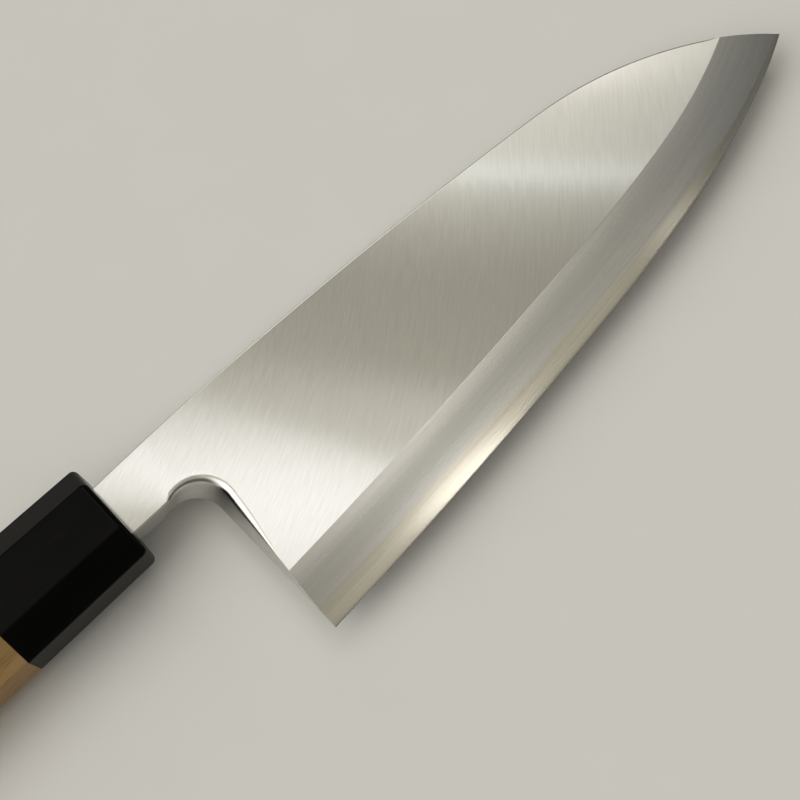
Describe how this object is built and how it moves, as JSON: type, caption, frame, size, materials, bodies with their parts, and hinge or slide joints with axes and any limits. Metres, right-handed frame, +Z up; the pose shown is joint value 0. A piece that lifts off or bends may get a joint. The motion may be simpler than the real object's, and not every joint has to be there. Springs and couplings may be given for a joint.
{
  "type": "deba knife",
  "caption": "Single-bevel fish knife with a thick broad blade, rounded choil, black horn collar and eight-sided wooden handle.",
  "frame": {"origin": "centre of the whole knife's box, on the surface that it is laid on with its back down", "axes": "+X along the handle towards the tip, +Y towards the spine, +Z up out of the bevelled face"},
  "size_m": [0.3322, 0.0688, 0.026],
  "materials": {
    "soft_steel": "satin brushed, polished at the choil",
    "hard_steel": "fine ground",
    "horn": "polished black horn",
    "pale_wood": "bare, fine sanded",
    "resin": "set resin"
  },
  "bodies": {
    "root": {"blade_cladding": "soft_steel", "edge_steel": "hard_steel", "ferrule": "horn", "handle_grip": "pale_wood", "tang_bedding": "resin"}
  },
  "joints": []
}
